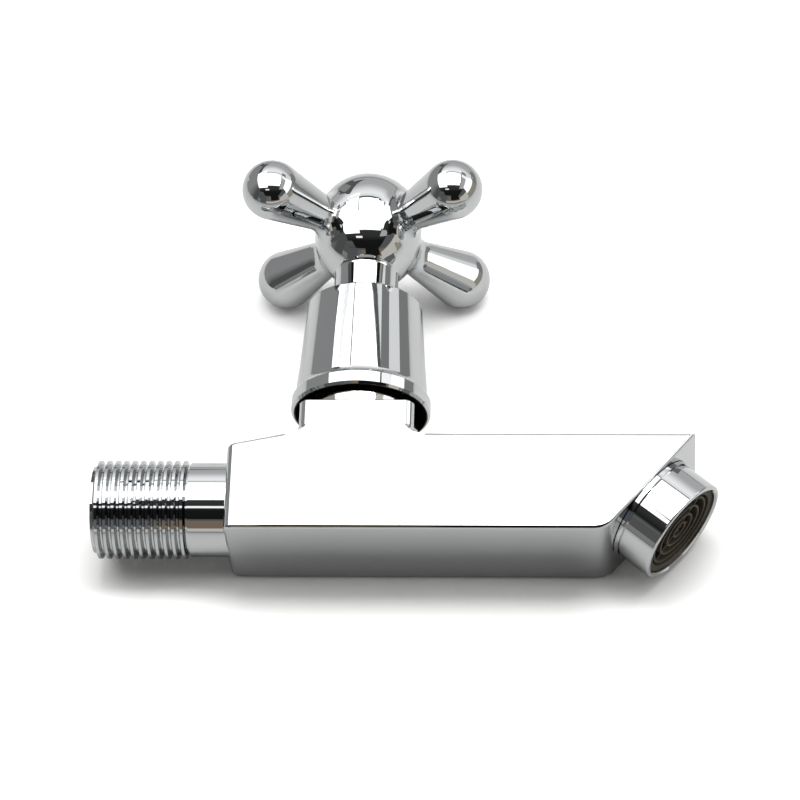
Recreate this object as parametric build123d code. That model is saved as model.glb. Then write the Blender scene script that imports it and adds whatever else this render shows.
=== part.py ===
"""Wall tap: one cold inlet, a cross handle on a quarter turn ceramic cartridge, and a slanted spout end.

Millimetres. +Z is up along the handle's axis and the pipe runs along X, with the wall at -X and the spout's
end at +X. The origin is on the pipe's axis, at the end of the male thread's last crest.
"""
import os
from math import cos, radians, sin, sqrt, tan

from build123d import *

# Fits: a gap on the radius between turning pieces, a gap between fixed ones, and a gap that has to be seen
running_gap = 0.05
seat_gap = 0.04
small_gap = 0.1
open_gap = 0.4
# How far a cutting tool runs past what it cuts
overrun = 3.0

# Inlet: G 1/2 male thread on a shank, then a plain shoulder that runs into the bar
thread_radius = 10.4775
thread_pitch = 1.814
thread_depth = 1.162
thread_turns = 11
thread_length = 19.8
thread_crest = 0.6
thread_root = 0.25
thread_relief = 0.95
shoulder_radius = 10.0
inlet_bore_radius = 6.5

# Bar: the body's square spout, cut off at a slant
bar_width = 24.4
bar_start = 9.0
bar_length = 98.8
bar_top = 12.3
bar_bottom = -10.1
bar_rear_top = 9.7
slant_angle = 39.5
heel_radius = 5.6
end_edge_radius = 2.0
side_edge_radius = 0.8

# Neck: the square boss that holds the cartridge
stem_offset = 27.1
neck_width = 24.4
neck_top = 20.3
neck_corner_radius = 2.3
neck_flare = 2.2
neck_rim_chamfer = 0.3
flush_cut = 0.02

# Waterways inside the body
seat_z = 3.0
feed_radius = 4.8
feed_z = -3.4
chamber_radius = 9.9
cartridge_thread_length = 6.8
outlet_radius = 4.9
outlet_z = 5.0
outlet_wall = 3.4
outlet_end_wall = 9.8
spout_bore_radius = 8.3
spout_bore_depth = 3.5
nipple_radius = 11.0
nipple_length = 3.5

# Cartridge, from the seat up
seal_thickness = 1.2
lower_disc_thickness = 3.0
upper_disc_thickness = 2.7
disc_radius = 7.55
port_outer_radius = 6.2
port_inner_radius = 2.2
port_angle = 80.0
tongue_width = 3.6
tongue_sink = 0.9
window_height = 2.7
window_width = 11.0
foot_thickness = 2.6
friction_thickness = 0.8
housing_foot_radius = 8.9
housing_bore_radius = 7.7
housing_thread_radius = 10.3
washer_thickness = 0.7
washer_radius = 10.9
washer_recess = 0.5
flange_radius = 11.8
flange_thickness = 2.2
flange_bevel = 0.35
hexagon_width = 19.0
hexagon_height = 5.0
housing_barrel_radius = 9.3
barrel_height = 13.3
housing_top_radius = 8.0
housing_top_height = 7.5

# Spindle
spindle_radius = 5.0
spindle_land_radius = 4.5
spindle_flat = 3.6
o_ring_cord = 0.72
o_ring_rises = (6.0, 12.0)
stop_thickness = 1.0
stop_radius = 6.3
stop_lug_reach = 7.7
stop_lug_width = 3.0
stop_post_spacing = 27.5
stop_post_height = 1.5
quarter_turn = 90.0
clip_thickness = 0.7
clip_radius = 6.2
clip_groove_radius = 4.0
clip_opening = 5.0
spline_teeth = 20
spline_radius = 4.1
spline_tooth = 0.45
spline_rise = 3.0
spline_length = 17.0
screw_hole_depth = 10.5

# Cover over the cartridge
cover_opening = 2.5
cover_headroom = 5.5
cover_lip_radius = 14.95
cover_lip_height = 2.95
cover_lip_edge = 0.5
cover_cove_height = 1.6
cover_lower_radius = 14.15
cover_upper_radius = 12.45
cover_wall = 1.3
cover_mouth_radius = 14.1
cover_edge = 0.5
cover_flange_thickness = 2.2
lock_ring_radius = 10.3
lock_ring_thickness = 3.0
lock_slot_width = 3.0

# Cross handle
collar_radius = 7.0
collar_sink = 2.6
hub_radius = 11.75
bowl_rise = 17.9
dome_rise = 2.9
arm_count = 4
first_arm_angle = 45.0
arm_rise = 0.6
knob_distance = 27.6
knob_radius = 6.5
arm_taper = 10.5
arm_blend = 4.4
seam_search = 1.4
collar_blend = 1.0
insert_radius = 6.2
insert_headroom = 0.5
handle_web = 2.5
screw_radius = 2.0
screw_head_radius = 3.6
screw_head_height = 2.6
screw_length = 12.5
screw_recess_width = 1.1
screw_recess_length = 4.2
screw_recess_depth = 1.4
cap_hole_radius = 5.6
cap_depth = 8.0
cap_rim_height = 1.3
cap_ring_cord = 0.7
index_radius = 3.0
index_pocket = 0.7

# Aerator, measured along its own axis from the slanted face, which it sits a little down from the middle of
aerator_drop = 0.5
aerator_radius = 11.8
aerator_length = 9.12
aerator_gap = 0.15
aerator_foot_radius = 12.1
aerator_foot_height = 1.1
aerator_groove_radius = 11.4
aerator_groove_width = 0.35
aerator_edge = 0.4
aerator_lip_radius = 10.6
aerator_lip_bevel = 0.35
rubber_thickness = 1.0
insert_flange_thickness = 1.0
insert_recess = 0.82
insert_wall = 0.85
insert_lip = 0.5
insert_lip_height = 0.25
plate_thickness = 1.0
screen_thickness = 0.3
grid_ring_count = 4
grid_ring_width = 0.5
grid_spoke_count = 6
grid_spoke_width = 0.7
plate_hole_radius = 0.75
plate_row_radii = (6.3, 3.5)
plate_row_counts = (16, 8)
screen_hole_radius = 0.45
screen_hole_step = 1.5

# Places that follow from the sizes above
bar_tip = bar_start + bar_length
stem_x = bar_start + stem_offset
outlet_end = bar_tip - outlet_end_wall
slant_run = (bar_top - bar_bottom) * tan(radians(slant_angle))
bar_heel = bar_tip - slant_run
drop_x = aerator_drop * sin(radians(slant_angle))
drop_z = aerator_drop * cos(radians(slant_angle))
slant_x = (bar_heel + bar_tip) / 2 - drop_x
slant_z = (bar_bottom + bar_top) / 2 - drop_z
aerator_middle = (slant_x, 0, slant_z)
slant_normal = (cos(radians(slant_angle)), 0, -sin(radians(slant_angle)))
lower_disc_z = seat_z + seal_thickness
upper_disc_z = lower_disc_z + lower_disc_thickness
tongue_z = upper_disc_z + upper_disc_thickness
foot_z = tongue_z + window_height
friction_z = foot_z + foot_thickness
shoulder_z = friction_z + friction_thickness
chamber_top = neck_top - cartridge_thread_length
washer_z = neck_top - washer_recess
flange_z = washer_z + washer_thickness
hexagon_z = flange_z + flange_thickness
cover_seat_z = hexagon_z + barrel_height
housing_top = cover_seat_z + housing_top_height
stop_z = housing_top + small_gap
clip_z = stop_z + stop_thickness + small_gap
spline_bottom = housing_top + spline_rise
spline_top = spline_bottom + spline_length
cover_bottom = neck_top + cover_opening
cover_top = housing_top + cover_headroom
lock_ring_z = cover_seat_z + cover_flange_thickness
collar_bottom = cover_top - collar_sink
bowl_z = cover_top + bowl_rise
dome_z = bowl_z + dome_rise
arm_z = bowl_z + arm_rise
insert_top = spline_top + insert_headroom
screw_head_z = insert_top + handle_web
insert_z = nipple_length + rubber_thickness
insert_step_z = insert_z + insert_flange_thickness
insert_radius_outer = aerator_lip_radius - small_gap
insert_bore = insert_radius_outer - insert_wall
disc_stack_radius = insert_bore - seat_gap
insert_end = aerator_length - insert_recess
plate_z = insert_z + small_gap
coarse_z = plate_z + plate_thickness
fine_z = coarse_z + screen_thickness
grid_z = fine_z + screen_thickness
grid_end = insert_end - insert_lip_height

arc_middle = 45.0

on_stem = Pos(stem_x, 0, 0)
on_pipe = Rot(0, 90, 0)
on_spout = Location(Plane(origin=aerator_middle, x_dir=(0, 1, 0), z_dir=slant_normal))


def ring(radius, bottom, top, hole=0.0):
    """A disc between two heights about the local Z axis, with a round hole if one is given."""
    height = top - bottom
    solid = Pos(0, 0, bottom + height / 2) * Cylinder(radius, height)
    if hole:
        solid -= Pos(0, 0, bottom + height / 2) * Cylinder(hole, height + overrun)
    return solid


def turned(*points):
    """A solid turned about the local Z axis from an outline of (radius, height) points."""
    return revolve(Plane.XZ * make_face(Polyline(*points, close=True)), axis=Axis.Z)


def torus(major, minor, height):
    """A rubber ring about the local Z axis."""
    return Pos(0, 0, height) * Torus(major, minor)


def arc_point(centre_z, radius, angle):
    """A point of a circle whose centre is on the Z axis, as (radius, height)."""
    return (radius * cos(radians(angle)), centre_z + radius * sin(radians(angle)))


def thread_outline():
    """Half section of the threaded shank, from the end of the pipe to the shoulder."""
    root = thread_radius - thread_depth
    flank = (thread_pitch - thread_crest - thread_root) / 2
    first_crest = -thread_crest - (thread_turns - 1) * thread_pitch
    points = [(0, -thread_length), (root - small_gap, -thread_length)]
    points.append((root, first_crest - flank))
    for turn in range(thread_turns):
        crest = first_crest + turn * thread_pitch
        points.append((thread_radius, crest))
        points.append((thread_radius, crest + thread_crest))
        points.append((root, crest + thread_crest + flank))
        if turn < thread_turns - 1:
            points.append((root, crest + thread_pitch - flank))
    points.append((root, thread_relief))
    points.append((0, thread_relief))
    return points


def shank():
    """Threaded shank and plain shoulder."""
    solid = turned(*thread_outline()) + ring(shoulder_radius, thread_relief, bar_start + overrun)
    return on_pipe * solid


def bar():
    """Square bar with its slanted end and rounded edges."""
    slope_end = stem_x - neck_width / 2 - neck_flare
    corners = (
        (bar_start, bar_bottom),
        (bar_start, bar_rear_top),
        (slope_end, bar_top),
        (bar_tip, bar_top),
        (bar_heel, bar_bottom),
    )
    side = make_face(Polyline(*corners, close=True))
    solid = extrude(Plane.XZ * side, amount=bar_width / 2, both=True)
    across = solid.edges().filter_by(Axis.Y)
    heel = across.sort_by(Axis.Z)[:2].sort_by(Axis.X)[-1]
    solid = fillet(heel, heel_radius)
    upright = solid.edges().filter_by(Axis.Z)
    solid = fillet(upright, end_edge_radius)
    flanks = solid.faces().sort_by(Axis.Y)
    rims = (flanks[0].edges() + flanks[-1].edges()).filter_by(Axis.Z, reverse=True)
    return fillet(rims, side_edge_radius)


def neck():
    """Square boss with a flared foot, cut flush with the bar's sides."""
    deep = neck_width + 2 * flush_cut
    plinth_width = neck_width + 2 * (neck_flare + open_gap)
    plinth = Pos(0, 0, bar_top / 2) * Box(plinth_width, 2 * neck_width, bar_top)
    boss = extrude(RectangleRounded(neck_width, deep, neck_corner_radius), amount=neck_top)
    solid = plinth + boss
    foot = solid.edges().filter_by_position(Axis.Z, bar_top - seat_gap, bar_top + seat_gap)
    foot = [edge for edge in foot if abs(edge.center().X) < neck_width / 2 + seat_gap]
    foot = [edge for edge in foot if abs(edge.center().Y) < deep / 2 + seat_gap]
    solid = fillet(foot, neck_flare)
    rim = solid.faces().sort_by(Axis.Z)[-1].edges()
    solid = chamfer(rim, neck_rim_chamfer)
    solid &= Pos(0, 0, neck_top) * Box(plinth_width, bar_width, 2 * neck_top)
    solid -= Box(2 * plinth_width, 2 * neck_width, 2 * (bar_top - overrun))
    return on_stem * solid


def waterways():
    """What is bored out of the body: inlet, feed, seat, chamber, outlet and spout bore."""
    inlet = on_pipe * ring(inlet_bore_radius, -thread_length - overrun, bar_start + overrun)
    feed_end = stem_x + overrun
    feed = Pos(0, 0, feed_z) * on_pipe * ring(feed_radius, bar_start, feed_end)
    seat = on_stem * ring(feed_radius, feed_z, seat_z + overrun)
    chamber = on_stem * ring(chamber_radius, seat_z, chamber_top + overrun)
    thread_hole = housing_thread_radius + seat_gap
    cartridge_hole = on_stem * ring(thread_hole, chamber_top, neck_top + overrun)
    washer_seat = on_stem * ring(washer_radius + seat_gap, washer_z, neck_top + overrun)
    outlet_start = stem_x + feed_radius + outlet_wall
    outlet = Pos(0, 0, outlet_z) * on_pipe * ring(outlet_radius, outlet_start, outlet_end)
    spout = on_spout * ring(spout_bore_radius, -spout_bore_depth, nipple_length + overrun)
    return inlet + feed + seat + chamber + cartridge_hole + washer_seat + outlet + spout


def tap_body():
    """The casting: shank, bar, neck and aerator nipple, with its waterways."""
    nipple = on_spout * ring(nipple_radius, -overrun, nipple_length)
    return bar() + neck() + shank() + nipple - waterways()


def ports():
    """Two opposite sector holes for a ceramic disc, as one cutting tool."""
    height = lower_disc_thickness + 2 * overrun
    band = ring(port_outer_radius, -overrun, height, port_inner_radius)
    half = port_angle / 2
    reach = 2 * disc_radius
    sides = (reach * cos(radians(half)), reach * sin(radians(half)))
    wedge = Polygon((0, 0), (sides[0], -sides[1]), sides, align=None)
    wedge += Rot(0, 0, 180) * wedge
    return band & Pos(0, 0, -overrun) * extrude(wedge, amount=height + overrun)


def lower_ceramic_disc():
    """Fixed disc, its two ports along X."""
    disc = ring(disc_radius, lower_disc_z, upper_disc_z)
    return on_stem * (disc - Pos(0, 0, lower_disc_z) * ports())


def upper_ceramic_disc():
    """Turning disc, its ports crosswise at rest so that the tap is shut, with a slot for the tongue."""
    disc = ring(disc_radius, upper_disc_z, tongue_z)
    disc -= Pos(0, 0, upper_disc_z) * Rot(0, 0, 90) * ports()
    slot = Box(2 * port_outer_radius, tongue_width, 2 * tongue_sink)
    disc -= Pos(0, 0, tongue_z) * slot
    return on_stem * disc


def seat_seal():
    """Rubber ring that presses the lower disc's underside."""
    return on_stem * ring(disc_radius, seat_z, lower_disc_z, feed_radius + open_gap)


def friction_washer():
    """Plastic washer above the spindle's foot."""
    hole = spindle_radius + running_gap
    return on_stem * ring(disc_radius, friction_z, shoulder_z, hole)


def housing_washer():
    """Fibre washer let into the neck under the cartridge's flange."""
    hole = housing_thread_radius + seat_gap
    return on_stem * ring(washer_radius, washer_z, flange_z, hole)


def cartridge_housing():
    """Brass cartridge: foot with side windows, thread, flange, hexagon, barrel and stop posts."""
    foot_bottom = seat_z + seal_thickness / 2
    solid = ring(housing_foot_radius, foot_bottom, chamber_top)
    solid += ring(housing_thread_radius, chamber_top, flange_z)
    solid += turned(
        (0, flange_z), (flange_radius - flange_bevel, flange_z), (flange_radius, hexagon_z), (0, hexagon_z)
    )
    hexagon = RegularPolygon(hexagon_width / 2, 6, major_radius=False, rotation=30)
    solid += Pos(0, 0, hexagon_z) * extrude(hexagon, amount=hexagon_height)
    solid += ring(housing_barrel_radius, hexagon_z, cover_seat_z)
    solid += ring(housing_top_radius, cover_seat_z, housing_top)
    solid -= ring(housing_bore_radius, foot_bottom - overrun, shoulder_z)
    solid -= ring(spindle_radius + running_gap, foot_bottom, housing_top + overrun)
    window = Box(4 * housing_foot_radius, window_width, window_height)
    solid -= Pos(0, 0, tongue_z + window_height / 2) * window
    post_reach = (stop_radius + housing_top_radius) / 2 + running_gap
    post_depth = housing_top_radius - stop_radius - 4 * running_gap
    post = Box(post_depth, stop_lug_width, stop_post_height)
    for angle in (-stop_post_spacing, quarter_turn + stop_post_spacing):
        place = Pos(post_reach, 0, housing_top + stop_post_height / 2)
        solid += Rot(0, 0, angle) * place * post
    return on_stem * solid


def flat_shaft(radius, flat, bottom, top):
    """A round shaft with one flat on its -Y side."""
    cutter = Pos(0, -flat - radius, (bottom + top) / 2)
    return ring(radius, bottom, top) - cutter * Box(2 * radius, 2 * radius, top - bottom)


def splined(radius, bottom, top):
    """A toothed bar with pointed teeth."""
    points = []
    for index in range(2 * spline_teeth):
        reach = radius - spline_tooth * (index % 2)
        angle = radians(180 * index / spline_teeth)
        points.append((reach * cos(angle), reach * sin(angle)))
    star = Polygon(*points, align=None)
    return Pos(0, 0, bottom) * extrude(star, amount=top - bottom)


def o_ring_groove(height):
    """What is turned out of the spindle for one rubber ring."""
    groove_bottom = spindle_radius - 2 * o_ring_cord
    half_width = o_ring_cord + 2 * running_gap
    return ring(spindle_radius + overrun, height - half_width, height + half_width, groove_bottom)


def spindle():
    """Brass spindle: tongue, foot, sealed shaft, stop flat, clip groove and splined head."""
    solid = ring(disc_radius, foot_z, friction_z)
    tongue_height = foot_z - tongue_z + tongue_sink
    tongue = Box(2 * port_outer_radius - open_gap, tongue_width - open_gap / 2, tongue_height)
    solid += Pos(0, 0, foot_z - tongue_height / 2) * tongue
    solid += ring(spindle_radius, friction_z, housing_top)
    solid += flat_shaft(spindle_land_radius, spindle_flat, housing_top, clip_z)
    solid += ring(clip_groove_radius, clip_z, spline_bottom)
    solid += ring(spindle_land_radius, clip_z + clip_thickness + small_gap, spline_bottom)
    solid += splined(spline_radius, spline_bottom, spline_top)
    for rise in o_ring_rises:
        solid -= o_ring_groove(shoulder_z + rise)
    solid -= ring(screw_radius + seat_gap, spline_top - screw_hole_depth, spline_top + overrun)
    return on_stem * solid


def spindle_o_ring(rise):
    """Rubber ring in one of the spindle's grooves."""
    return on_stem * torus(spindle_radius - o_ring_cord, o_ring_cord, shoulder_z + rise)


def stop_ring():
    """Steel ring keyed on the spindle's flat; its lug swings between the housing's two posts."""
    solid = ring(stop_radius, stop_z, stop_z + stop_thickness)
    lug = Box(stop_lug_reach, stop_lug_width, stop_thickness)
    solid += Pos(stop_lug_reach / 2, 0, stop_z + stop_thickness / 2) * lug
    land = spindle_land_radius + seat_gap
    key = flat_shaft(land, spindle_flat + seat_gap, stop_z - overrun, stop_z + overrun)
    return on_stem * (solid - key)


def spindle_circlip():
    """Open steel ring in the spindle's top groove."""
    hole = clip_groove_radius + seat_gap
    solid = ring(clip_radius, clip_z + seat_gap, clip_z + seat_gap + clip_thickness, hole)
    opening = Pos(0, clip_radius, clip_z) * Box(clip_opening, 2 * clip_radius, 2 * overrun)
    return on_stem * (solid - opening)


def bonnet_cover():
    """Tapered shroud with a cove above its lip, open at the bottom; the lock ring clamps its inner flange."""
    lip_top = cover_bottom + cover_lip_height
    taper_start = lip_top + cover_cove_height
    taper_end = cover_top - cover_edge
    deck = cover_top - cover_wall
    outline = Polyline(
        (cover_lip_radius, lip_top),
        (cover_lip_radius, cover_bottom + cover_lip_edge),
        (cover_lip_radius - cover_lip_edge, cover_bottom),
        (cover_mouth_radius, cover_bottom),
        (cover_mouth_radius, cover_bottom + cover_lip_height / 2),
        (cover_lower_radius - cover_wall, taper_start),
        (cover_upper_radius - cover_wall, deck),
        (collar_radius + open_gap, deck),
        (collar_radius + open_gap, cover_top),
        (cover_upper_radius - cover_edge, cover_top),
        (cover_upper_radius, taper_end),
        (cover_lower_radius, taper_start),
    )
    taper = (cover_lower_radius - cover_upper_radius, taper_start - taper_end)
    cove = TangentArc((cover_lower_radius, taper_start), (cover_lip_radius, lip_top), tangent=taper)
    solid = revolve(Plane.XZ * make_face(outline + cove), axis=Axis.Z)
    flange_reach = (cover_lower_radius + cover_upper_radius) / 2 - cover_wall / 2
    flange_hole = housing_top_radius + seat_gap
    solid += ring(flange_reach, cover_seat_z, lock_ring_z, flange_hole)
    return on_stem * solid


def cover_lock_ring():
    """Slotted brass ring that holds the cover down on the cartridge."""
    top = lock_ring_z + lock_ring_thickness
    solid = ring(lock_ring_radius, lock_ring_z, top, housing_top_radius + seat_gap)
    slots = Box(2 * lock_ring_radius + overrun, lock_slot_width, lock_ring_thickness)
    return on_stem * (solid - Pos(0, 0, top) * slots)


def hub():
    """Collar, bowl and dome of the handle, solid."""
    bowl_start = sqrt(hub_radius ** 2 - collar_radius ** 2)
    join = (collar_radius, bowl_z - bowl_start)
    collar = Polyline((0, collar_bottom), (collar_radius, collar_bottom), join)
    bowl = ThreePointArc(join, arc_point(bowl_z, hub_radius, -arc_middle / 2), (hub_radius, bowl_z))
    side = Line((hub_radius, bowl_z), (hub_radius, dome_z))
    top = (0, dome_z + hub_radius)
    dome = ThreePointArc((hub_radius, dome_z), arc_point(dome_z, hub_radius, arc_middle), top)
    axis_line = Line(top, (0, collar_bottom))
    outline = make_face(collar + bowl + side + dome + axis_line)
    solid = revolve(Plane.XZ * outline, axis=Axis.Z)
    joint = solid.edges().filter_by_position(Axis.Z, join[1] - seat_gap, join[1] + seat_gap)
    joint = [edge for edge in joint if edge.geom_type == GeomType.CIRCLE]
    return fillet(joint, collar_blend)


def arm():
    """One tapered arm with a ball end, along the local Z axis from the hub's middle."""
    ball_side = arc_point(knob_distance, knob_radius, -arm_taper)
    ball_end = (0, knob_distance + knob_radius)
    ball_middle = arc_point(knob_distance, knob_radius, arm_taper)
    root_z = hub_radius / 2
    root_radius = ball_side[0] - (ball_side[1] - root_z) * tan(radians(arm_taper))
    flank = Polyline((0, root_z), (root_radius, root_z), ball_side)
    ball = ThreePointArc(ball_side, ball_middle, ball_end)
    outline = make_face(flank + ball + Line(ball_end, (0, root_z)))
    return revolve(Plane.XZ * outline, axis=Axis.Z)


def cross_handle():
    """Hub and arms blended together, bored for the insert, the screw and the cap."""
    solid = hub()
    for index in range(arm_count):
        angle = first_arm_angle + index * 360 / arm_count
        solid += Pos(0, 0, arm_z) * Rot(0, 0, angle) * Rot(0, 90, 0) * arm()
    seams = [edge for edge in solid.edges() if is_arm_seam(edge)]
    solid = fillet(seams, arm_blend)
    solid -= ring(insert_radius + seat_gap, collar_bottom - overrun, insert_top)
    solid -= ring(screw_radius + 2 * running_gap, insert_top - overrun, screw_head_z + overrun)
    solid -= ring(cap_hole_radius, screw_head_z, dome_z + hub_radius + overrun)
    return on_stem * solid


def is_arm_seam(edge):
    """True for the edges where an arm meets the hub."""
    middle = edge.position_at(0.5)
    reach = sqrt(middle.X ** 2 + middle.Y ** 2)
    near_hub = abs(reach - hub_radius) < seam_search
    near_arm = abs(middle.Z - arm_z) < knob_radius
    return near_hub and near_arm and edge.geom_type not in (GeomType.CIRCLE, GeomType.LINE)


def spline_insert():
    """Nylon bush in the hub, toothed inside to fit the spindle."""
    bottom = spline_bottom + open_gap
    solid = ring(insert_radius, bottom, insert_top)
    solid -= splined(spline_radius + seat_gap, bottom - overrun, spline_top + open_gap)
    solid -= ring(screw_radius + 2 * running_gap, bottom, insert_top + overrun)
    return on_stem * solid


def handle_screw():
    """Cross-recessed screw through the hub into the spindle."""
    head_top = screw_head_z + screw_head_height
    solid = ring(screw_head_radius, screw_head_z, head_top)
    solid = fillet(solid.edges().sort_by(Axis.Z)[-1], screw_head_height / 3)
    end = screw_head_z - screw_length
    solid += ring(screw_radius, end, screw_head_z)
    slot = Box(screw_recess_length, screw_recess_width, 2 * screw_recess_depth)
    solid -= Pos(0, 0, head_top) * (slot + Rot(0, 0, 90) * slot)
    return on_stem * solid


def index_cap():
    """Domed plug that carries on the hub's dome, with a groove for its ring and a pocket for the index."""
    rim = cap_hole_radius - 2 * running_gap
    plug = rim - open_gap
    rim_z = dome_z + sqrt(hub_radius ** 2 - rim ** 2)
    plug_bottom = rim_z - cap_depth
    solid = ring(plug, plug_bottom, rim_z) + ring(rim, rim_z - cap_rim_height, dome_z + hub_radius)
    solid &= Pos(0, 0, dome_z) * Sphere(hub_radius)
    groove_z = cap_ring_height()
    half_width = cap_ring_cord + 2 * running_gap
    groove_bottom = cap_hole_radius - running_gap - 2 * cap_ring_cord
    solid -= ring(rim + overrun, groove_z - half_width, groove_z + half_width, groove_bottom)
    solid -= ring(index_radius, index_floor(), dome_z + hub_radius + overrun)
    return on_stem * solid


def cap_ring_height():
    """Height of the cap's rubber ring."""
    return dome_z + cap_hole_radius


def index_floor():
    """Height of the pocket's floor under the index disc."""
    return dome_z + hub_radius - index_pocket


def cap_o_ring():
    """Rubber ring that grips the cap in its hole."""
    major = cap_hole_radius - running_gap - cap_ring_cord
    return on_stem * torus(major, cap_ring_cord, cap_ring_height())


def index_disc():
    """Plain blue disc for cold, let into the cap and domed like it."""
    solid = ring(index_radius - seat_gap, index_floor(), dome_z + hub_radius)
    return on_stem * (solid & Pos(0, 0, dome_z) * Sphere(hub_radius))


def aerator_housing():
    """Chrome ring with a foot and a groove, screwed onto the nipple; its ledge holds the insert."""
    groove_end = aerator_foot_height + aerator_groove_width
    solid = ring(aerator_radius, groove_end, aerator_length)
    rims = solid.edges().filter_by(GeomType.CIRCLE).sort_by(Axis.Z)
    solid = fillet(rims[-1], aerator_edge)
    solid += ring(aerator_foot_radius, aerator_gap, aerator_foot_height)
    solid += ring(aerator_groove_radius, aerator_gap, groove_end)
    solid -= ring(nipple_radius + seat_gap, aerator_gap - overrun, insert_step_z)
    solid -= ring(aerator_lip_radius, insert_step_z - overrun, aerator_length + overrun)
    mouth = solid.edges().filter_by(GeomType.CIRCLE).group_by(Axis.Z)[-1].sort_by(SortBy.RADIUS)[0]
    return on_spout * chamfer(mouth, aerator_lip_bevel)


def aerator_washer():
    """Flat rubber ring on the end of the nipple."""
    return on_spout * ring(nipple_radius, nipple_length, insert_z, spout_bore_radius)


def aerator_body():
    """Plastic cup that holds the plate, the screens and the grid."""
    solid = ring(nipple_radius, insert_z, insert_step_z)
    solid += ring(insert_radius_outer, insert_step_z, insert_end)
    solid -= ring(insert_bore, insert_z - overrun, grid_end)
    solid -= ring(insert_bore - insert_lip, insert_z, insert_end + overrun)
    return on_spout * solid


def aerator_mixer_plate():
    """Plastic plate with a ring of small holes that break up the water."""
    solid = ring(disc_stack_radius, plate_z, coarse_z)
    hole = ring(plate_hole_radius, plate_z - overrun, coarse_z + overrun)
    for reach, count in zip(plate_row_radii, plate_row_counts):
        for index in range(count):
            solid -= Rot(0, 0, 360 * index / count) * Pos(reach, 0, 0) * hole
    return on_spout * solid


def screen(bottom, turn):
    """Wire screen as a thin disc with square holes in rows."""
    solid = ring(disc_stack_radius, bottom, bottom + screen_thickness)
    reach = int(disc_stack_radius / screen_hole_step)
    side = 2 * screen_hole_radius
    hole = Pos(0, 0, bottom) * Box(side, side, 4 * screen_thickness)
    limit = disc_stack_radius - screen_hole_step
    holes = []
    for column in range(-reach, reach + 1):
        for row in range(-reach, reach + 1):
            x = column * screen_hole_step
            y = row * screen_hole_step
            if x * x + y * y < limit * limit:
                holes.append(Pos(x, y, 0) * hole)
    solid -= holes
    return on_spout * Rot(0, 0, turn) * solid


def aerator_outlet_grid():
    """Concentric plastic rings on spokes that straighten the stream."""
    solid = ring(disc_stack_radius, grid_z, grid_end, disc_stack_radius - grid_ring_width)
    step = disc_stack_radius / (grid_ring_count + 0.5)
    for index in range(1, grid_ring_count + 1):
        reach = index * step
        solid += ring(reach, grid_z, grid_end, reach - grid_ring_width)
    spoke_top = grid_end - grid_ring_width
    height = spoke_top - grid_z
    spoke = Pos(disc_stack_radius / 2, 0, grid_z + height / 2)
    spoke *= Box(disc_stack_radius - grid_ring_width, grid_spoke_width, height)
    for index in range(grid_spoke_count):
        solid += Rot(0, 0, 360 * index / grid_spoke_count) * spoke
    return on_spout * solid


def build():
    """Make every node and write it under its own name."""
    os.makedirs("parts", exist_ok=True)
    nodes = {
        "tap_body": tap_body(),
        "housing_washer": housing_washer(),
        "cartridge_housing": cartridge_housing(),
        "seat_seal": seat_seal(),
        "lower_ceramic_disc": lower_ceramic_disc(),
        "upper_ceramic_disc": upper_ceramic_disc(),
        "spindle": spindle(),
        "spindle_o_ring_lower": spindle_o_ring(o_ring_rises[0]),
        "spindle_o_ring_upper": spindle_o_ring(o_ring_rises[1]),
        "friction_washer": friction_washer(),
        "stop_ring": stop_ring(),
        "spindle_circlip": spindle_circlip(),
        "bonnet_cover": bonnet_cover(),
        "cover_lock_ring": cover_lock_ring(),
        "cross_handle": cross_handle(),
        "spline_insert": spline_insert(),
        "handle_screw": handle_screw(),
        "index_cap": index_cap(),
        "cap_o_ring": cap_o_ring(),
        "index_disc": index_disc(),
        "aerator_housing": aerator_housing(),
        "aerator_washer": aerator_washer(),
        "aerator_body": aerator_body(),
        "aerator_mixer_plate": aerator_mixer_plate(),
        "aerator_screen_coarse": screen(coarse_z, 0),
        "aerator_screen_fine": screen(fine_z, 45),
        "aerator_outlet_grid": aerator_outlet_grid(),
    }
    for name, solid in nodes.items():
        export_step(solid, f"parts/{name}.step")
        print(name, "valid" if solid.is_valid else "NOT VALID", round(solid.volume, 1), len(solid.solids()))


build()
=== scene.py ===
from math import pi, radians

import bmesh
import bpy
from mathutils import Euler, Matrix, Vector

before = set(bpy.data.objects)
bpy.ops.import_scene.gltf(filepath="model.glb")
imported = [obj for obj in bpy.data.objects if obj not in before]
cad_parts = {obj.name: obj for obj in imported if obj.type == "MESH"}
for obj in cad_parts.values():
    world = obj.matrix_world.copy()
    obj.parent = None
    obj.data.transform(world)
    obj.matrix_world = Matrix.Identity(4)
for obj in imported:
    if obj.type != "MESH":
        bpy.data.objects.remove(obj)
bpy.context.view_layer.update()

# Tap body
# Hot-forged brass: shank with its G 1/2 thread, square bar, neck and aerator nipple in one piece. It is
# machined, buffed on cloth wheels and plated with bright nickel and chrome. The bore stays bare brass.


def linear(code):
    """A colour in linear light from its sRGB hex code."""
    parts = [int(code[place:place + 2], 16) / 255 for place in (1, 3, 5)]
    return [part / 12.92 if part <= 0.04045 else ((part + 0.055) / 1.055) ** 2.4 for part in parts] + [1]


def add(tree, kind, settings=None, links=None):
    """A shader node with its settings, and with other nodes' sockets linked to its inputs."""
    node = tree.nodes.new(kind)
    for key, value in (settings or {}).items():
        if isinstance(key, int) or key in node.inputs:
            node.inputs[key].default_value = value
        else:
            setattr(node, key, value)
    for key, socket in (links or {}).items():
        tree.links.new(socket, node.inputs[key])
    return node


def start_material(name):
    """A new material: its node tree, its output and the object's own coordinates."""
    material = bpy.data.materials.new(name)
    material.use_nodes = True
    tree = material.node_tree
    tree.nodes.clear()
    output = add(tree, "ShaderNodeOutputMaterial")
    place = add(tree, "ShaderNodeTexCoord").outputs["Object"]
    return material, tree, output, place


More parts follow.
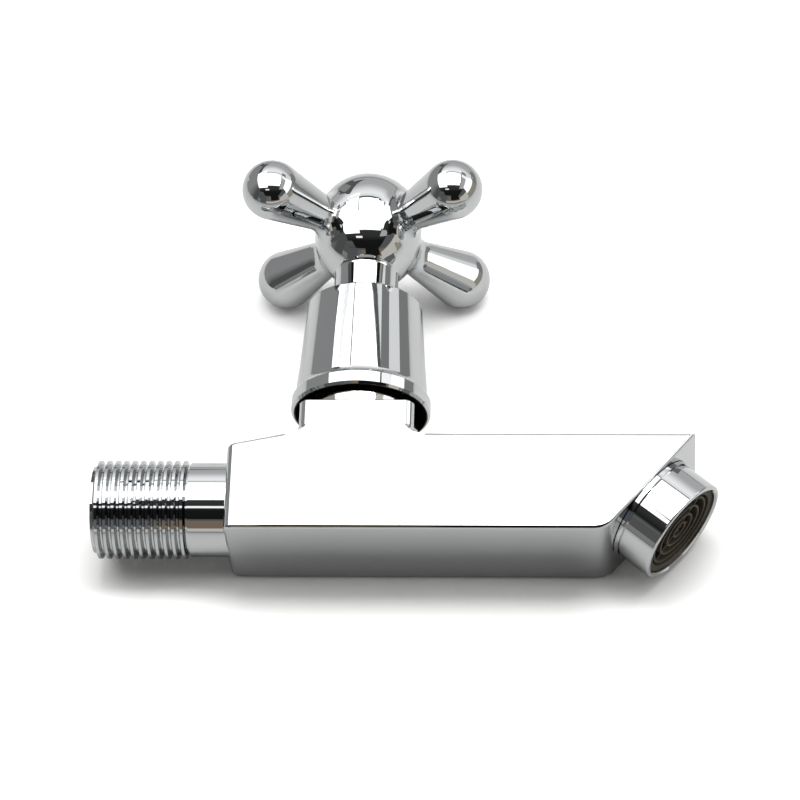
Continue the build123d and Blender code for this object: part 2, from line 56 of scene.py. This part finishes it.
def distance_from(tree, place, centre, flatten):
    """How far a place is from a line through centre; flatten is (1, 1, 0) for a line along Z."""
    moved = add(tree, "ShaderNodeVectorMath", {"operation": "SUBTRACT", 1: centre}, {0: place})
    flat = add(tree, "ShaderNodeVectorMath", {"operation": "MULTIPLY", 1: flatten}, {0: moved.outputs[0]})
    return add(tree, "ShaderNodeVectorMath", {"operation": "LENGTH"}, {0: flat.outputs[0]}).outputs["Value"]


def finish_node(name, material):
    """Gives a CAD node its finish."""
    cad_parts[name].material_slots[0].material = material


chrome_colour = "#C6C8C9"
brass_colour = "#D6B36A"
mirror_rough, hazy_rough = 0.02, 0.055
haze_size = 0.006
haze_clear, haze_full = 0.4, 0.9
ripple_size, ripple_height = 0.004, 1.2e-6
wipe_width, wipe_stretch = 0.0009, 9.0
wipe_turn = (0.5, 0.3, 0.7)
wipe_faint, wipe_full, wipe_strength = 0.62, 0.8, 0.3


def chrome_plate(name, ripple=1.0, bare=None, bare_and_shade_colour=brass_colour, bare_rough=0.32):
    """Bright chrome gives the eye a near mirror, with a faint haze from the wheel, a few wipe marks and slow
    shallow waves. Real wipe marks are hair fine; they are drawn 0.9 mm wide so that they show. A mask from
    bare, a function of the tree and the place, shows the metal where the plate doesn't reach. Where that
    metal is given a dark colour, as on the cover's inner side, the dark is painted shade."""
    material, tree, output, place = start_material(name)
    haze = add(
        tree,
        "ShaderNodeTexNoise",
        {"Scale": 1 / haze_size, "Detail": 3.0, "Roughness": 0.6},
        {"Vector": place},
    )
    stretched = add(
        tree,
        "ShaderNodeMapping",
        {"Rotation": wipe_turn, "Scale": (1.0, wipe_stretch, wipe_stretch)},
        {"Vector": place},
    )
    wipes = add(
        tree,
        "ShaderNodeTexNoise",
        {"Scale": 1 / (wipe_stretch * wipe_width), "Detail": 2.0},
        {"Vector": stretched.outputs["Vector"]},
    )
    marks = add(
        tree,
        "ShaderNodeMapRange",
        {"From Min": wipe_faint, "From Max": wipe_full, "To Min": 0.0, "To Max": wipe_strength},
        {"Value": wipes.outputs["Fac"]},
    )
    blend = add(
        tree,
        "ShaderNodeMath",
        {"operation": "ADD", "use_clamp": True},
        {0: haze.outputs["Fac"], 1: marks.outputs["Result"]},
    )
    rough = add(
        tree,
        "ShaderNodeMapRange",
        {"From Min": haze_clear, "From Max": haze_full, "To Min": mirror_rough, "To Max": hazy_rough},
        {"Value": blend.outputs["Value"]},
    ).outputs["Result"]
    wave = add(tree, "ShaderNodeTexNoise", {"Scale": 1 / ripple_size, "Detail": 1.0}, {"Vector": place})
    bump = add(
        tree,
        "ShaderNodeBump",
        {"Strength": 1.0, "Distance": ripple_height * ripple},
        {"Height": wave.outputs["Fac"]},
    )
    shader = add(
        tree,
        "ShaderNodeBsdfPrincipled",
        {"Base Color": linear(chrome_colour), "Metallic": 1.0},
        {"Roughness": rough, "Normal": bump.outputs["Normal"]},
    )
    if bare:
        mask = bare(tree, place)
        colour = add(
            tree,
            "ShaderNodeMix",
            {"data_type": "RGBA", 6: linear(chrome_colour), 7: linear(bare_and_shade_colour)},
            {0: mask},
        )
        dulled = add(tree, "ShaderNodeMix", {3: bare_rough}, {0: mask, 2: rough})
        tree.links.new(colour.outputs[2], shader.inputs["Base Color"])
        tree.links.new(dulled.outputs[0], shader.inputs["Roughness"])
    tree.links.new(shader.outputs["BSDF"], output.inputs["Surface"])
    return material


inlet_bore = 0.0066
bore_blend = 0.0002


def bare_bore(tree, place):
    """The water passage of the inlet, where the plating bath hardly reaches."""
    reach = distance_from(tree, place, (0, 0, 0), (0, 1, 1))
    return add(
        tree,
        "ShaderNodeMapRange",
        {"From Min": inlet_bore, "From Max": inlet_bore + bore_blend, "To Min": 1.0, "To Max": 0.0},
        {"Value": reach},
    ).outputs["Result"]


finish_node("tap_body", chrome_plate("polished_chrome_on_brass", bare=bare_bore))

# Cartridge
# A quarter turn ceramic cartridge drops into the neck. Its nickel-plated housing holds, from the seat up, a
# rubber seal, the fixed disc, the turning disc and the spindle with its two rings.

nickel_colour = "#DAD7D0"
turning_pitch = 0.00018
band_repeat = pi / 10
metal_cloud_size = 0.002
# Most of a noise texture lies between these two values.
cloud_low, cloud_high = 0.3, 0.7


def turned_metal(name, colour, rough=0.16, depth=1.5e-6):
    """Metal off the lathe gives the eye fine grooves round the stem's axis and a soft shine. The grooves are
    drawn at 0.18 mm, about three times as coarse as the real feed, so that they show. At a scale of 1 the
    bands repeat every pi / 10."""
    material, tree, output, place = start_material(name)
    groove_scale = band_repeat / turning_pitch
    grooves = add(
        tree,
        "ShaderNodeTexWave",
        {
            "wave_type": "BANDS",
            "bands_direction": "Z",
            "Scale": groove_scale,
            "Distortion": 0.4,
            "Detail": 2.0,
        },
        {"Vector": place},
    )
    cloud_scale = 1 / metal_cloud_size
    cloud = add(tree, "ShaderNodeTexNoise", {"Scale": cloud_scale, "Detail": 3.0}, {"Vector": place})
    shine = add(
        tree,
        "ShaderNodeMapRange",
        {"From Min": cloud_low, "From Max": cloud_high, "To Min": rough * 0.7, "To Max": rough * 1.4},
        {"Value": cloud.outputs["Fac"]},
    )
    bump = add(
        tree,
        "ShaderNodeBump",
        {"Strength": 1.0, "Distance": depth},
        {"Height": grooves.outputs["Fac"]},
    )
    shader = add(
        tree,
        "ShaderNodeBsdfPrincipled",
        {"Base Color": linear(colour), "Metallic": 1.0},
        {"Roughness": shine.outputs["Result"], "Normal": bump.outputs["Normal"]},
    )
    tree.links.new(shader.outputs["BSDF"], output.inputs["Surface"])
    return material


mottle_size = 1 / 350
light_travel = 0.0015


def moulded(name, colour, rough=0.5, grain=0.0002, depth=4e-6, soft=0.0, mottle=0.12, gloss=0.5):
    """A moulded or pressed material gives the eye a fine even grain from the tool and a slightly cloudy
    colour, in clouds of about 3 mm. A real grain is finer, and is drawn at 0.08 to 0.3 mm so that it shows.
    Soft is how much of the light goes in and comes out again nearby."""
    material, tree, output, place = start_material(name)
    base = linear(colour)
    dark = [part * (1 - mottle) for part in base[:3]] + [1]
    cloud_scale = 1 / mottle_size
    cloud = add(tree, "ShaderNodeTexNoise", {"Scale": cloud_scale, "Detail": 4.0}, {"Vector": place})
    tone = add(
        tree,
        "ShaderNodeMix",
        {"data_type": "RGBA", 6: dark, 7: base},
        {0: cloud.outputs["Fac"]},
    )
    fine = add(tree, "ShaderNodeTexNoise", {"Scale": 1 / grain, "Detail": 2.0}, {"Vector": place})
    bump = add(tree, "ShaderNodeBump", {"Strength": 1.0, "Distance": depth}, {"Height": fine.outputs["Fac"]})
    shine = add(
        tree,
        "ShaderNodeMapRange",
        {"From Min": cloud_low, "From Max": cloud_high, "To Min": rough * 0.85, "To Max": rough * 1.15},
        {"Value": fine.outputs["Fac"]},
    )
    shader = add(
        tree,
        "ShaderNodeBsdfPrincipled",
        {"Subsurface Weight": soft, "Subsurface Scale": light_travel, "Specular IOR Level": gloss},
        {
            "Base Color": tone.outputs[2],
            "Roughness": shine.outputs["Result"],
            "Normal": bump.outputs["Normal"],
        },
    )
    tree.links.new(shader.outputs["BSDF"], output.inputs["Surface"])
    return material


# Rubber: soft black with a dull sheen.
black_rubber = moulded("moulded_nitrile_rubber", "#1B1B1C", rough=0.62, depth=8e-6)
# Ceramic lapped flat: milk white and evenly smooth, with a little light going in.
lapped_alumina = moulded(
    "lapped_alumina_ceramic", "#EEEBE2", rough=0.22, grain=0.00008, depth=6e-7, soft=0.15, mottle=0.03
)
# Nylon: creamy white and waxy.
white_nylon = moulded("moulded_nylon", "#E8E4DA", rough=0.42, soft=0.25, mottle=0.05)
# Fibre sheet: pale, matt and a little uneven, like card.
pressed_fibre = moulded("pressed_fibre", "#CFCCC2", rough=0.75, grain=0.0003, depth=1.5e-5, mottle=0.25)
# Brass and stainless steel: yellow and plain grey, with the marks of the tool.
turned_brass = turned_metal("turned_brass", brass_colour)
turned_steel = turned_metal("turned_stainless_steel", "#C2C1BE", rough=0.2)
# Nickel: a warm grey that is brighter and smoother than the bare metals.
bright_nickel = turned_metal("bright_nickel_on_turned_brass", nickel_colour, rough=0.09, depth=8e-7)

for ring_name in ("seat_seal", "spindle_o_ring_lower", "spindle_o_ring_upper"):
    finish_node(ring_name, black_rubber)
for disc_name in ("lower_ceramic_disc", "upper_ceramic_disc"):
    finish_node(disc_name, lapped_alumina)
for steel_name in ("stop_ring", "spindle_circlip"):
    finish_node(steel_name, turned_steel)
finish_node("friction_washer", white_nylon)
finish_node("housing_washer", pressed_fibre)
finish_node("spindle", turned_brass)
finish_node("cartridge_housing", bright_nickel)

# Cover
# A pressed brass shroud, plated bright outside. A slotted brass ring clamps its inner flange on the
# cartridge. Inside it is dull because it is neither buffed nor plated well, and its dark brown is painted
# shade.

stem = (0.0361, 0.0, 0.0)
wall_foot_height, wall_foot_radius = 0.0232, 0.0144
wall_top_height, wall_top_radius = 0.0488, 0.0118


def shaded_bare_inside(tree, place):
    """The inner side of the tapered wall, found by its radius at each height, where the cover gets its
    painted shade.
    """
    reach = distance_from(tree, place, stem, (1, 1, 0))
    height = add(tree, "ShaderNodeSeparateXYZ", None, {"Vector": place}).outputs["Z"]
    limit = add(
        tree,
        "ShaderNodeMapRange",
        {
            "From Min": wall_foot_height,
            "From Max": wall_top_height,
            "To Min": wall_foot_radius,
            "To Max": wall_top_radius,
        },
        {"Value": height},
    )
    inside = add(tree, "ShaderNodeMath", {"operation": "LESS_THAN"}, {0: reach, 1: limit.outputs["Result"]})
    below = add(tree, "ShaderNodeMath", {"operation": "LESS_THAN", 1: wall_top_height}, {0: height})
    both = add(
        tree,
        "ShaderNodeMath",
        {"operation": "MULTIPLY"},
        {0: inside.outputs["Value"], 1: below.outputs["Value"]},
    )
    return both.outputs["Value"]


# The inner side is dull because it is unplated, and its dark brown #38332C is painted shade inside the
# cover.
cover_chrome = chrome_plate(
    "polished_chrome_on_pressed_brass", ripple=0.6, bare=shaded_bare_inside, bare_and_shade_colour="#38332C", bare_rough=0.5
)
finish_node("bonnet_cover", cover_chrome)
finish_node("cover_lock_ring", turned_brass)

# Cross handle
# One die-cast piece with a hub and four ball-ended arms, buffed and chromed. A nylon bush takes the
# spindle's splines, a screw holds the hub down, and a plug with a blue spot for cold closes the top.

# The casting's chrome waves a little more than the body's, and the turned plug's is like the body's.
finish_node("cross_handle", chrome_plate("polished_chrome_on_cast_zinc", ripple=1.3))
finish_node("index_cap", chrome_plate("polished_chrome_on_turned_cap"))
# The spot: plain blue and glossy.
finish_node("index_disc", moulded("moulded_blue_abs", "#1B58B8", rough=0.16, depth=1e-6, mottle=0.05))
finish_node("spline_insert", white_nylon)
finish_node("handle_screw", turned_steel)
finish_node("cap_o_ring", black_rubber)

# Aerator
# A chromed brass ring screws onto the nipple and holds a plastic insert: a plate with small holes, two
# screens of woven stainless wire, and a grid of rings that gives a smooth stream.

# Acetal: dark brown and dull, with no bright edge to its rings.
dark_acetal = moulded("moulded_dark_acetal", "#4A443A", rough=0.6, depth=3e-6, gloss=0.2)
# The turned ring's chrome is the flattest mirror of all.
finish_node("aerator_housing", chrome_plate("polished_chrome_on_turned_brass", ripple=0.5))
finish_node("aerator_washer", black_rubber)
for insert_name in ("aerator_body", "aerator_mixer_plate", "aerator_outlet_grid"):
    finish_node(insert_name, dark_acetal)
for screen_name in ("aerator_screen_coarse", "aerator_screen_fine"):
    finish_node(screen_name, turned_steel)

# Camera
# It looks at the tap from below its spout, as the photograph does: there the tap lies on its back on a
# table, with its handle away from the camera.

camera_place = Vector((0.104704, -0.784590, -0.390893))
camera_turn = Euler((radians(117.959), radians(-1.859), radians(3.406)))
camera_data = bpy.data.cameras.new("photograph")
camera_data.sensor_width = 36.0
camera_data.lens = 186.3
camera = bpy.data.objects.new("photograph", camera_data)
camera.matrix_world = Matrix.LocRotScale(camera_place, camera_turn, None)
bpy.context.scene.collection.objects.link(camera)
bpy.context.scene.camera = camera

# Table
# A plain pale table that the tap's back rests on: the far side of the bar and two knobs touch it. Its top is
# matt white. Its underside lets the camera through, so that the tap can be looked at from behind.

table_tilt = radians(10.15)
table_point = Vector((0.046, 0.01878, 0.02664))
table = Matrix.Translation(table_point) @ Matrix.Rotation(pi / 2 - table_tilt, 4, "X")


def flat_panel(name, matrix, half_x, half_y, material):
    """A flat rectangle that isn't part of the object, in the table's own axes."""
    mesh = bpy.data.meshes.new(name)
    shape = bmesh.new()
    bmesh.ops.create_grid(shape, x_segments=1, y_segments=1, size=1.0)
    bmesh.ops.scale(shape, vec=(half_x, half_y, 1.0), verts=shape.verts)
    bmesh.ops.transform(shape, matrix=table @ matrix, verts=shape.verts)
    shape.to_mesh(mesh)
    shape.free()
    mesh.materials.append(material)
    panel = bpy.data.objects.new(name, mesh)
    bpy.context.scene.collection.objects.link(panel)
    return panel


# The photograph's table was lifted to white afterwards, but its chrome still mirrors the table about half as
# bright. So the paint is lighter to the eye than it is in the chrome.
table_seen = "#F9F9F8"
table_mirrored = "#BEBEBD"
table_white, tree, output, place = start_material("matt_white_table")
seen_directly = add(tree, "ShaderNodeLightPath").outputs["Is Camera Ray"]
table_tone = add(
    tree,
    "ShaderNodeMix",
    {"data_type": "RGBA", 6: linear(table_mirrored), 7: linear(table_seen)},
    {0: seen_directly},
)
paint = add(tree, "ShaderNodeBsdfDiffuse", None, {"Color": table_tone.outputs[2]})
clear = add(tree, "ShaderNodeBsdfTransparent")
side = add(tree, "ShaderNodeNewGeometry")
either = add(
    tree,
    "ShaderNodeMixShader",
    None,
    {0: side.outputs["Backfacing"], 1: paint.outputs["BSDF"], 2: clear.outputs["BSDF"]},
)
tree.links.new(either.outputs["Shader"], output.inputs["Surface"])

near_edge, far_edge, table_step = -0.65, 2.6, 0.33
near_sides, far_sides = (-0.41, 0.39), (-0.8, 0.8)
for name, sides, edges in (
    ("table_top", near_sides, (near_edge, table_step)),
    ("table_far_end", far_sides, (table_step, far_edge)),
):
    middle = Matrix.Translation((sum(sides) / 2, sum(edges) / 2, 0.0))
    flat_panel(name, middle, (sides[1] - sides[0]) / 2, (edges[1] - edges[0]) / 2, table_white)

# Studio light
# A small tent stands over the table: three soft windows, the one overhead with a bright heart, and pale
# cloth beyond them. Its front and its front left corner are dim and give the chrome its dark bands.

# Where the cloths hang, in metres along the table's axes: x to the right, y away from the camera and z up.
# Cloths that would share a plane hang a layer or two apart.
ceiling = 0.37
layer = 0.001
under_ceiling, over_ceiling = ceiling - 2 * layer, ceiling + 2 * layer
left_side, right_side = near_sides
far_left, far_right = far_sides
left_wall = -0.56
front_wall, outer_front = -0.64, -0.66
window_seam = -0.105


def window(name, low, high, radiance, turn=Matrix.Identity(4)):
    """A soft window of even light between two corners, given in the table's axes; it faces the tap."""
    middle = (Vector(low) + Vector(high)) / 2
    span = Vector(high) - Vector(low)
    wide, long = (span.x, span.y) if span.z == 0 else (span.z, span.y)
    light = bpy.data.lights.new(name, "AREA")
    light.shape = "RECTANGLE"
    light.size = wide
    light.size_y = long
    light.energy = radiance * pi * wide * long
    lamp = bpy.data.objects.new(name, light)
    lamp.matrix_world = table @ Matrix.Translation(middle) @ turn
    lamp.visible_camera = False
    bpy.context.scene.collection.objects.link(lamp)
    return lamp


heart_level = ceiling - layer
facing_left = Matrix.Rotation(pi / 2, 4, "Y")
window("window_left", (-0.40, -0.165, ceiling), (window_seam, 0.31, ceiling), 2.5)
window("window_over", (window_seam, -0.11, ceiling), (0.205, 0.207, ceiling), 2.5)
window("window_heart", (-0.10, -0.035, heart_level), (0.20, 0.07, heart_level), 10.0)
window("window_right", (right_side, -0.17, 0.14), (right_side, 0.20, ceiling), 2.0, facing_left)


def glow(name, strength, code="#FFFFFF", steps=()):
    """An even glow for a cloth or card that the chrome mirrors. Steps, each a distance along the table away
    from the camera and a share of the strength, make it a soft gradient."""
    material, tree, output, place = start_material(name)
    light = add(tree, "ShaderNodeEmission", {"Color": linear(code), "Strength": strength})
    if steps:
        first, last = steps[0][0], steps[-1][0]
        away = table.to_3x3() @ Vector((0, 1, 0))
        reach = add(tree, "ShaderNodeVectorMath", {"operation": "DOT_PRODUCT", 1: away}, {0: place})
        along = add(
            tree,
            "ShaderNodeMapRange",
            {"From Min": first + table_point.dot(away), "From Max": last + table_point.dot(away)},
            {"Value": reach.outputs["Value"]},
        )
        ramp = add(tree, "ShaderNodeValToRGB", None, {"Fac": along.outputs["Result"]})
        stops = ramp.color_ramp.elements
        while len(stops) < len(steps):
            stops.new(0.5)
        for stop, (distance, share) in zip(stops, steps):
            stop.position = (distance - first) / (last - first)
            stop.color = [part * share for part in linear(code)[:3]] + [1]
        tree.links.new(ramp.outputs["Color"], light.inputs["Color"])
    tree.links.new(light.outputs["Emission"], output.inputs["Surface"])
    return material


def card(name, low, high, material):
    """A flat card between two corners in the table's axes, level or upright. The camera doesn't see it."""
    low, high = Vector(low), Vector(high)
    middle, half = (low + high) / 2, (high - low) / 2
    turn = Matrix.Identity(4)
    if half.x == 0:
        turn, half = Matrix.Rotation(pi / 2, 4, "Y"), Vector((half.z, half.y, 0))
    elif half.y == 0:
        turn, half = Matrix.Rotation(pi / 2, 4, "X"), Vector((half.x, half.z, 0))
    panel = flat_panel(name, Matrix.Translation(middle) @ turn, half.x, half.y, material)
    panel.visible_camera = False
    return panel


# Pale cloth overhead, beyond the windows, and the walls at the table's far end.
pale_steps = ((0.225, 0.76), (0.30, 0.95), (0.39, 0.83), (0.53, 0.60), (0.75, 0.43), (1.6, 0.40))
pale = glow("pale_ceiling", 1.5, steps=pale_steps)
far_white = glow("far_wall", 0.62)
card("pale_ceiling", (-0.27, 0.225, ceiling), (0.30, far_edge, ceiling), pale)
card("pale_far_right", (0.30, 0.345, ceiling), (far_right, far_edge, ceiling), pale)
card("far_right_wall", (far_right, 0.345, 0.0), (far_right, far_edge, ceiling), far_white)
card("far_wall", (far_left, far_edge, 0.0), (far_right, far_edge, ceiling), far_white)

# Cloth at the sides, with soft ends.
left_steps = ((-0.15, 0.3), (-0.05, 0.7), (0.05, 1.0), (0.6, 0.95))
right_steps = ((0.12, 0.6), (0.135, 1.6), (0.21, 1.6), (0.225, 0.3))
left_pale = glow("left_cloth", 0.37, steps=left_steps)
right_pale = glow("right_cloth", 1.0, steps=right_steps)
right_far = glow("right_far_cloth", 1.1)
foot_side, foot_height = right_side + 2 * layer, 0.165
card("left_cloth", (left_side, -0.30, 0.0), (left_side, 0.9, ceiling), left_pale)
card("right_cloth", (0.225, -0.22, under_ceiling), (0.385, table_step, under_ceiling), right_pale)
card("right_far_cloth", (right_side, 0.20, foot_height), (right_side, table_step, ceiling), right_far)
card("right_foot", (foot_side, 0.16, 0.0), (foot_side, 0.50, foot_height), glow("right_foot", 0.3))

# Beige cloth at the front right and along the table's near edge.
beige = glow("beige_cloth", 1.4, "#C3C0B9")
low_beige = glow("beige_low", 0.75, "#C3BDB0")
low_side = right_side + layer
card("beige_cloth", (right_side, front_wall, 0.0), (right_side, -0.17, 0.20), beige)
card("beige_low", (low_side, -0.17, 0.0), (low_side, 0.16, 0.14), low_beige)
card("beige_foot", (left_wall, near_edge, 0.0), (right_side, near_edge, 0.09), beige)

# The dark front, a black gap between the two windows overhead, and one small bright reflector.
black_steps = ((front_wall, 0.2), (-0.32, 0.25), (-0.22, 0.8), (-0.12, 1.0))
black = glow("black_room", 0.012)
soft_black = glow("black_card", 0.055, steps=black_steps)
reflector = glow("small_reflector", 1.6)
card("black_card", (left_wall, front_wall, over_ceiling), (right_side, -0.12, over_ceiling), soft_black)
card("gap_strip", (-0.115, 0.165, under_ceiling), (window_seam, 0.225, under_ceiling), black)
card("black_front", (-0.03, -0.62, 0.13), (0.34, -0.62, ceiling), black)
card("small_reflector", (-0.18, -0.257, under_ceiling), (-0.07, -0.215, under_ceiling), reflector)

# The dim corner at the front left, and a dim sail over it.
sail_steps = ((-0.62, 0.7), (-0.44, 0.8), (-0.385, 1.0), (-0.31, 0.1))
dim = glow("dim_corner", 0.13)
sail = glow("dim_sail", 0.17, steps=sail_steps)
foot_top = 0.14
card("left_foot", (left_wall, front_wall, 0.0), (left_wall, -0.10, foot_top), glow("left_foot", 0.3))
card("dim_left", (left_wall, front_wall, foot_top), (left_wall, -0.10, ceiling), dim)
card("dim_corner", (left_wall, front_wall, 0.0), (-0.24, front_wall, ceiling), dim)
card("dim_sail", (-0.55, -0.62, under_ceiling), (-0.30, -0.31, under_ceiling), sail)

# A brown wall and a grey one, just outside the tent's front.
brown_start, wall_top = -0.135, 0.33
brown, grey = glow("brown_wall", 0.8, "#9C8B78"), glow("grey_wall", 0.8, "#7C828A")
card("brown_wall", (brown_start, outer_front, 0.0), (0.9, outer_front, wall_top), brown)
card("grey_wall", (-0.24, outer_front, 0.0), (brown_start, outer_front, wall_top), grey)

# Round it all is a dim grey room that only the chrome and the table see. The camera sees plain white.
room_radius = 6.0
room_mesh = bpy.data.meshes.new("dark_room")
room_shape = bmesh.new()
bmesh.ops.create_icosphere(room_shape, subdivisions=4, radius=room_radius)
bmesh.ops.reverse_faces(room_shape, faces=room_shape.faces)
room_shape.to_mesh(room_mesh)
room_shape.free()
room_mesh.materials.append(glow("dark_room", 1.2, "#5E5F60"))
room = bpy.data.objects.new("dark_room", room_mesh)
room.visible_camera = False
bpy.context.scene.collection.objects.link(room)

backdrop = bpy.data.worlds.new("pale_backdrop")
backdrop.use_nodes = True
backdrop.node_tree.nodes["Background"].inputs["Color"].default_value = (1, 1, 1, 1)
bpy.context.scene.world = backdrop
bpy.context.scene.view_settings.view_transform = "Standard"
